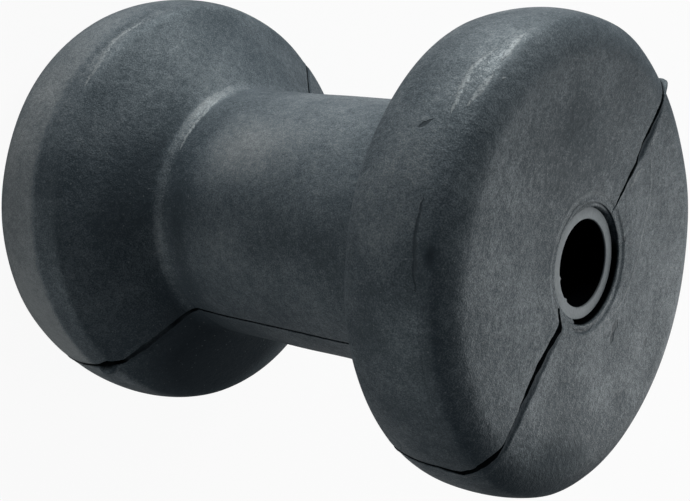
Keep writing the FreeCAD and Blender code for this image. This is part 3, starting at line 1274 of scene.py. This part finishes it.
# The camera's axes in the roller's frame
CAMERA_RIGHT = Vector((0.44514, -0.43164, 0.78456))
CAMERA_UP = Vector((0.80533, 0.57606, -0.14000))

# Soft lamps: azimuth and elevation in degrees, then distance, width and height in metres and power in watts
LAMPS = [
    Lamp("key", 42, -2, 0.6, 0.25, 0.25, 4.5),
    Lamp("left", 164, -4, 0.6, 0.25, 0.06, 0.72),
    Lamp("face", 296, 28, 0.6, 0.25, 0.25, 1.38),
    Lamp("rim", 15, 33, 0.6, 0.25, 0.25, 1.2),
    Lamp("over", 0, 89, 0.8, 0.3, 0.3, 0.8),
]

# The dim fill from all round
WORLD_STRENGTH = 0.026
WORLD_COLOUR = (0.7, 0.9, 1.15, 1.0)

# The floor's radius in metres and its count of sides, and the width of the sensor in millimetres
FLOOR_RADIUS = 4.0
FLOOR_SIDES = 96
SENSOR_WIDTH = 36.0


class ROLLER_OT_studio(bpy.types.Operator):
    """Build the floor, the lamps and the camera"""

    bl_idname = "roller.studio"
    bl_label = "Studio"

    def execute(self, context):
        scene = context.scene
        centre = (CAD_BOX[0] + CAD_BOX[1]) / 2
        self.floor()
        self.camera(scene)
        for lamp in LAMPS:
            self.lamp(lamp, centre)
        self.world(scene)
        scene.view_settings.view_transform = "Standard"
        return {"FINISHED"}

    def floor(self):
        """A wide round floor under the roller."""
        angle = np.linspace(0, 2 * np.pi, FLOOR_SIDES, endpoint=False)
        rim = [(FLOOR_RADIUS * math.cos(a), FLOOR_RADIUS * math.sin(a), CAD_BOX[0].z) for a in angle]
        mesh = bpy.data.meshes.new("studio_floor")
        mesh.from_pydata(rim, [], [tuple(range(len(rim)))])
        floor = new_object("studio_floor", mesh)
        floor.data.materials.append(finishes()["Pale floor"])

    def camera(self, scene):
        """The camera at the photograph's viewing angle."""
        stage = scene.roller_stage
        back = CAMERA_RIGHT.cross(CAMERA_UP)
        turn = Matrix((CAMERA_RIGHT, CAMERA_UP, back)).transposed().to_4x4()
        data = bpy.data.cameras.new("studio_camera")
        data.lens = stage.lens
        data.sensor_width = SENSOR_WIDTH
        data.shift_x = stage.shift_x
        data.shift_y = stage.shift_y
        camera = new_object("studio_camera", data)
        camera.matrix_world = Matrix.Translation(stage.camera_place) @ turn
        scene.camera = camera

    def lamp(self, lamp, centre):
        """One soft lamp, aimed at the middle of the roller."""
        turn = Euler((0, -math.radians(lamp.elevation), math.radians(lamp.azimuth)))
        toward = turn.to_matrix() @ Vector((1, 0, 0))
        data = bpy.data.lights.new("lamp_" + lamp.name, "AREA")
        data.shape = "RECTANGLE"
        data.size = lamp.width
        data.size_y = lamp.height
        data.energy = lamp.power
        light = new_object("lamp_" + lamp.name, data)
        light.location = centre + toward * lamp.distance
        light.rotation_euler = toward.to_track_quat("Z", "Y").to_euler()

    def world(self, scene):
        """A dim even fill."""
        world = bpy.data.worlds.new("studio_world")
        scene.world = world
        world.use_nodes = True
        background = world.node_tree.nodes["Background"]
        background.inputs["Strength"].default_value = WORLD_STRENGTH
        background.inputs["Color"].default_value = WORLD_COLOUR


class ROLLER_PT_panel(bpy.types.Panel):
    """Lists the steps that build the roller"""

    bl_label = "Boat trailer roller"
    bl_idname = "ROLLER_PT_panel"
    bl_space_type = "VIEW_3D"
    bl_region_type = "UI"
    bl_category = "Roller"

    def draw(self, context):
        layout = self.layout
        for step in STEPS:
            layout.operator(step.bl_idname)
        for name in GROUPS:
            group = getattr(context.scene, name)
            for key in group.__annotations__:
                layout.prop(group, key)


STEPS = (ROLLER_OT_rubber_spool, ROLLER_OT_bore_tube, ROLLER_OT_studio)
GROUPS = {
    "roller_spool": SpoolSizes,
    "roller_counts": MeshCounts,
    "roller_colours": FinishColours,
    "roller_stage": StageSettings,
}
CLASSES = tuple(GROUPS.values()) + STEPS + (ROLLER_PT_panel,)


def register():
    """Registers the classes and hangs their values on the scene."""
    for cls in CLASSES:
        bpy.utils.register_class(cls)
    for name, group in GROUPS.items():
        setattr(bpy.types.Scene, name, PointerProperty(type=group))


def unregister():
    """Takes the classes and values away again."""
    for name in GROUPS:
        delattr(bpy.types.Scene, name)
    for cls in reversed(CLASSES):
        bpy.utils.unregister_class(cls)


def main():
    register()
    bpy.ops.roller.rubber_spool()
    bpy.ops.roller.bore_tube()
    bpy.ops.roller.studio()


if __name__ == "__main__":
    main()
